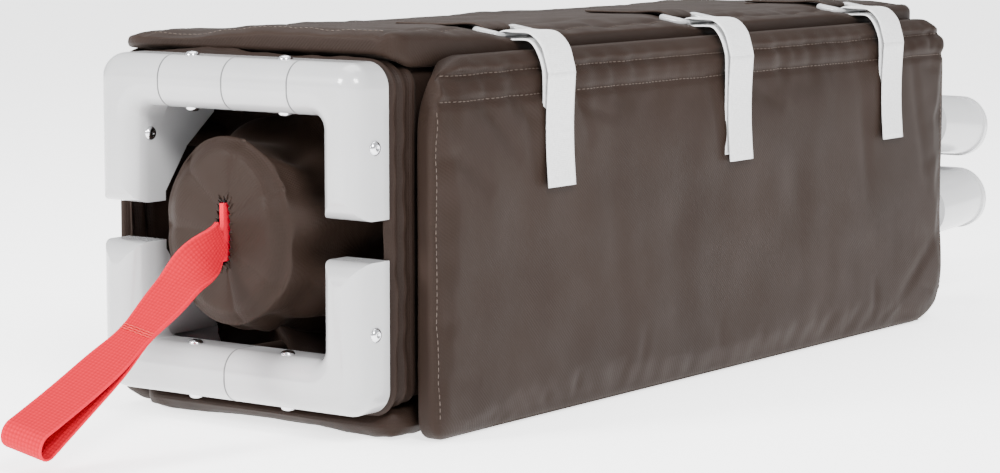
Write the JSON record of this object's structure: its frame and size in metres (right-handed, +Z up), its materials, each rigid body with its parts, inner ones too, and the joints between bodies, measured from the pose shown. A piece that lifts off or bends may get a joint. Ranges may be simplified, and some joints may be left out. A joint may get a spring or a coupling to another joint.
{
  "type": "folding travel cot bed",
  "caption": "Folded rollaway cot bundle: square frame with corner brackets, hub and pull strap, wrapped in its padded panel mattress, held by hook-and-loop straps.",
  "frame": {"origin": "centre of the bottom pad's underside, on the floor", "axes": "+X along the bundle from the corner brackets to the feet, +Z up"},
  "size_m": [1.0002, 0.2625, 0.2529],
  "materials": {
    "quilted_cloth": "brown coated polyester, plain weave",
    "cot_cloth": "dark brown polyester",
    "hardboard": "pressed board",
    "rivet_steel": "polished",
    "bracket_plastic": "white, moulded gloss",
    "foot_plastic": "white, moulded gloss",
    "latch_plastic": "white",
    "button_plastic": "grey",
    "hub_plastic": "dark grey",
    "tube_steel": "powder coated",
    "pull_webbing": "coral red basket-weave webbing",
    "strap_webbing": "white hook-and-loop tape",
    "ring_plastic": "white",
    "tab_webbing": "brown ribbed webbing"
  },
  "bodies": {
    "frame": {"bottom_board": "hardboard", "bottom_pad": "quilted_cloth", "bracket_lower_far": "bracket_plastic", "bracket_lower_near": "bracket_plastic", "bracket_rivets": "rivet_steel", "bracket_upper_far": "bracket_plastic", "bracket_upper_near": "bracket_plastic", "floor_hub": "hub_plastic", "floor_tube_lower_far": "tube_steel", "floor_tube_lower_near": "tube_steel", "floor_tube_upper_far": "tube_steel", "floor_tube_upper_near": "tube_steel", "foot_lower_far": "foot_plastic", "foot_lower_near": "foot_plastic", "foot_upper_far": "foot_plastic", "foot_upper_near": "foot_plastic", "hub_cover": "cot_cloth", "latch_housing_far": "latch_plastic", "latch_housing_lower": "latch_plastic", "latch_housing_near": "latch_plastic", "latch_housing_upper": "latch_plastic", "latch_pins": "rivet_steel", "leg_lower_far": "tube_steel", "leg_lower_near": "tube_steel", "leg_upper_far": "tube_steel", "leg_upper_near": "tube_steel", "lower_arm_sleeves": "bracket_plastic", "pull_strap_root": "pull_webbing", "rail_far_a": "tube_steel", "rail_far_b": "tube_steel", "rail_lower_a": "tube_steel", "rail_lower_b": "tube_steel", "rail_near_a": "tube_steel", "rail_near_b": "tube_steel", "rail_upper_a": "tube_steel", "rail_upper_b": "tube_steel", "side_fabric": "cot_cloth", "upper_arm_sleeves": "bracket_plastic"},
    "near_panel": {"near_pad": "quilted_cloth", "near_board": "hardboard", "strap_bases": "strap_webbing"},
    "far_panel": {"far_pad": "quilted_cloth", "far_board": "hardboard"},
    "top_panel": {"top_pad": "quilted_cloth", "top_board": "hardboard", "ring_tabs": "tab_webbing"},
    "pull_loop": {"pull_strap": "pull_webbing"},
    "tail_left": {"strap_tail_left": "strap_webbing"},
    "ring_left": {"strap_ring_left": "ring_plastic"},
    "tail_middle": {"strap_tail_middle": "strap_webbing"},
    "ring_middle": {"strap_ring_middle": "ring_plastic"},
    "tail_right": {"strap_tail_right": "strap_webbing"},
    "ring_right": {"strap_ring_right": "ring_plastic"},
    "button_near": {"latch_button_near": "button_plastic"},
    "button_far": {"latch_button_far": "button_plastic"},
    "button_upper": {"latch_button_upper": "button_plastic"},
    "button_lower": {"latch_button_lower": "button_plastic"}
  },
  "joints": [
    {"name": "near_panel_hinge", "type": "hinge", "parent": "frame", "child": "near_panel", "pos_m": [0, -0.1295, 0], "axis": [1, 0, 0], "range_deg": [0, 86], "deforming": ["strap_bases"]},
    {"name": "far_panel_hinge", "type": "hinge", "parent": "frame", "child": "far_panel", "pos_m": [0, 0.1275, 0], "axis": [-1, 0, 0], "range_deg": [0, 89]},
    {"name": "top_panel_hinge", "type": "hinge", "parent": "far_panel", "child": "top_panel", "pos_m": [0, 0.1275, 0.247], "axis": [-1, 0, 0], "range_deg": [0, 89]},
    {"name": "pull_strap_swing", "type": "hinge", "parent": "frame", "child": "pull_loop", "pos_m": [-0.371, 0, 0.1255], "axis": [0, 0, 1], "range_deg": [-28, 28]},
    {"name": "strap_tail_peel_left", "type": "hinge", "parent": "near_panel", "child": "tail_left", "pos_m": [-0.197, -0.135, 0.2205], "axis": [-1, 0, 0], "range_deg": [0, 150]},
    {"name": "strap_ring_flip_left", "type": "hinge", "parent": "top_panel", "child": "ring_left", "pos_m": [-0.197, -0.066, 0.2501], "axis": [-1, 0, 0], "range_deg": [0, 45]},
    {"name": "strap_tail_peel_middle", "type": "hinge", "parent": "near_panel", "child": "tail_middle", "pos_m": [0.0205, -0.135, 0.2205], "axis": [-1, 0, 0], "range_deg": [0, 150]},
    {"name": "strap_ring_flip_middle", "type": "hinge", "parent": "top_panel", "child": "ring_middle", "pos_m": [0.0205, -0.066, 0.2501], "axis": [-1, 0, 0], "range_deg": [0, 45]},
    {"name": "strap_tail_peel_right", "type": "hinge", "parent": "near_panel", "child": "tail_right", "pos_m": [0.238, -0.135, 0.2205], "axis": [-1, 0, 0], "range_deg": [0, 150]},
    {"name": "strap_ring_flip_right", "type": "hinge", "parent": "top_panel", "child": "ring_right", "pos_m": [0.238, -0.066, 0.2501], "axis": [-1, 0, 0], "range_deg": [0, 45]},
    {"name": "latch_button_press_near", "type": "slide", "parent": "frame", "child": "button_near", "axis": [-1, 0, 0], "range_m": [0, 0.004], "stiffness_N_per_m": 400, "springref_m": -0.002},
    {"name": "latch_button_press_far", "type": "slide", "parent": "frame", "child": "button_far", "axis": [-1, 0, 0], "range_m": [0, 0.004], "stiffness_N_per_m": 400, "springref_m": -0.002},
    {"name": "latch_button_press_upper", "type": "slide", "parent": "frame", "child": "button_upper", "axis": [-1, 0, 0], "range_m": [0, 0.004], "stiffness_N_per_m": 400, "springref_m": -0.002},
    {"name": "latch_button_press_lower", "type": "slide", "parent": "frame", "child": "button_lower", "axis": [-1, 0, 0], "range_m": [0, 0.004], "stiffness_N_per_m": 400, "springref_m": -0.002}
  ]
}
